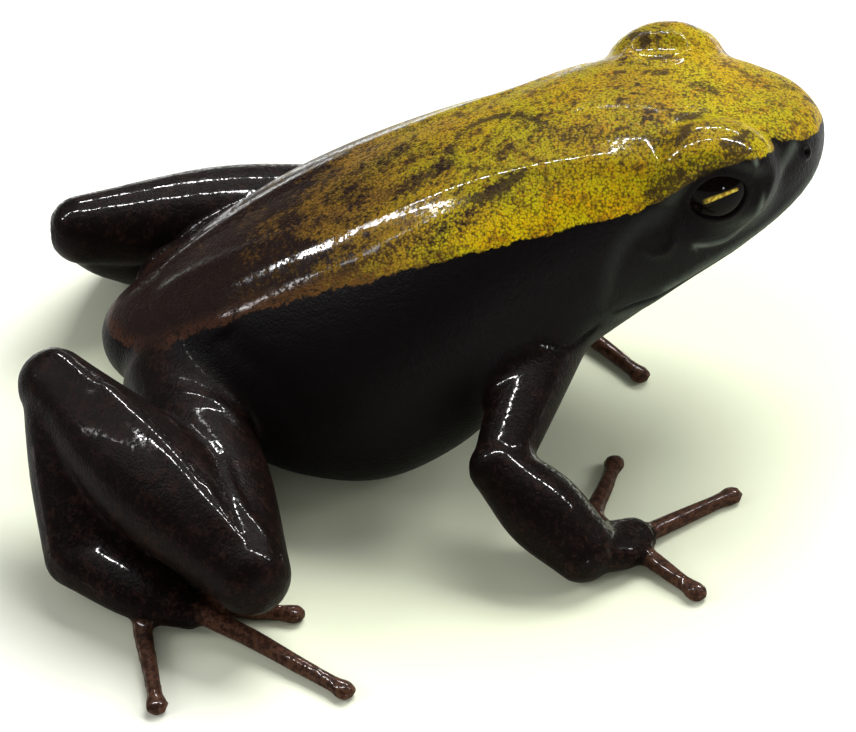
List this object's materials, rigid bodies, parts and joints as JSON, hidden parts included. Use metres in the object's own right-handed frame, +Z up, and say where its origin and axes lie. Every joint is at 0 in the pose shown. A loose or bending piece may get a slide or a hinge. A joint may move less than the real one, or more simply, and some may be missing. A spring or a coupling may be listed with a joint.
{
  "type": "green-backed climbing mantella frog, life-size still model",
  "caption": "Small ground frog sitting on its belly, hands and feet, with an olive-yellow back and black flanks and limbs.",
  "frame": {"origin": "middle of the model's bounding box, on the floor it sits on", "axes": "+X the way the frog faces, +Y its left side, +Z up"},
  "size_m": [0.028, 0.0318, 0.0119],
  "materials": {
    "back_skin": "moist, finely granular skin, olive-yellow on top and sooty black on the flanks and belly",
    "dark_skin": "moist brown-black skin with wet highlights",
    "limb_skin": "moist dark brown skin, paler reddish brown towards the digits",
    "eye": "wet black eye with a golden upper iris"
  },
  "bodies": {
    "root": {"head": "back_skin", "torso": "back_skin", "eye_left": "eye", "eye_right": "eye", "upper_arm_left": "dark_skin", "forearm_left": "limb_skin", "hand_left": "limb_skin", "thigh_left": "dark_skin", "shank_left": "dark_skin", "tarsus_left": "limb_skin", "foot_left": "limb_skin", "upper_arm_right": "dark_skin", "forearm_right": "limb_skin", "hand_right": "limb_skin", "thigh_right": "dark_skin", "shank_right": "dark_skin", "tarsus_right": "limb_skin", "foot_right": "limb_skin"}
  },
  "joints": []
}
